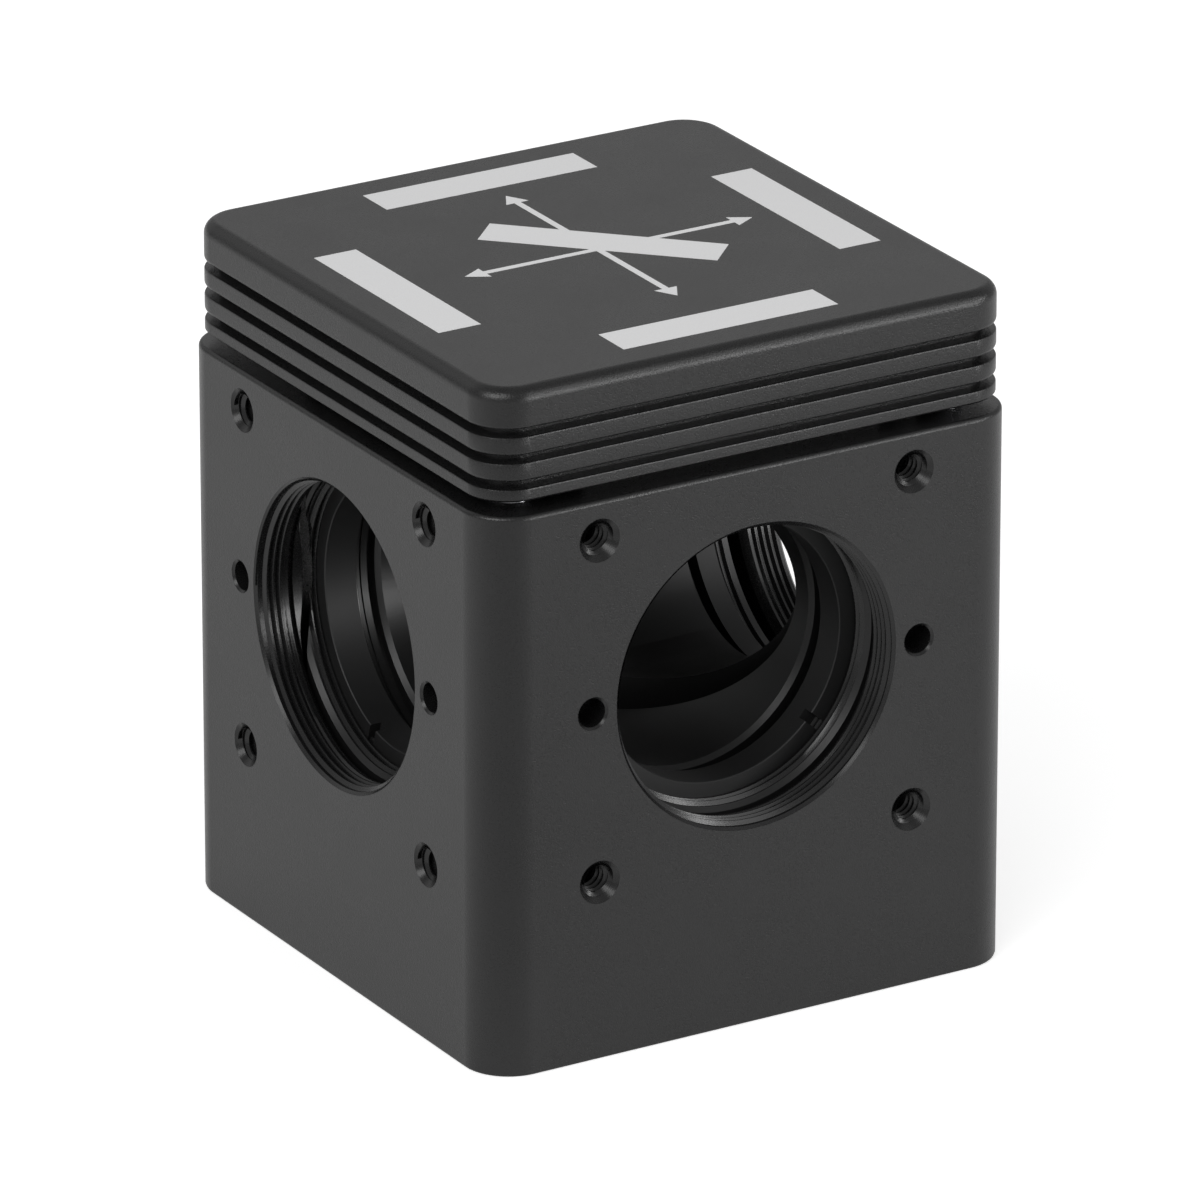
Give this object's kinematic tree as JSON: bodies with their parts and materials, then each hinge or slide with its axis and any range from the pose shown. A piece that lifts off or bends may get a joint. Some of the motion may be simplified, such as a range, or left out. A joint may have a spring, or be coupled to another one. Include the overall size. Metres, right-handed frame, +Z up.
{
  "type": "optical cage cube",
  "caption": "Black anodised cage cube with threaded ports on four sides, tapped holes around each port and a magnetically held lift-out filter insert under a grooved cover.",
  "frame": {"origin": "centre of the underside of the base", "axes": "+Z up, the way the insert lifts out; -Y is the front face and -X the left face, which hold the two filter bores"},
  "size_m": [0.0508, 0.0508, 0.06],
  "materials": {
    "anodised_base": "fine matte black anodising",
    "anodised_cover": "fine matte black anodising",
    "anodised_block": "matte black anodising on bored walls",
    "anodised_ring": "satin black anodising on turned faces",
    "ball_steel": "polished hardened steel",
    "nickel_plate": "nickel plate on magnets",
    "seat_steel": "ground hardened steel",
    "black_screw": "black oxide"
  },
  "bodies": {
    "base": {"base_housing": "anodised_base", "ball_front_left": "ball_steel", "ball_front_right": "ball_steel", "ball_back_right": "ball_steel", "magnet_front_left": "nickel_plate", "magnet_front_right": "nickel_plate", "magnet_back_right": "nickel_plate"},
    "insert": {"insert_cover": "anodised_cover", "filter_block": "anodised_block", "retaining_ring_front": "anodised_ring", "retaining_ring_right": "anodised_ring", "retaining_ring_back": "anodised_ring", "retaining_ring_left": "anodised_ring", "vee_seat_front_left": "seat_steel", "vee_seat_front_right": "seat_steel", "vee_seat_back_right": "seat_steel", "cover_screws": "black_screw", "slot_setscrews": "black_screw"}
  },
  "joints": [
    {"name": "insert_lift", "type": "slide", "parent": "base", "child": "insert", "axis": [0, 0, 1], "range_m": [0, 0.045]}
  ]
}
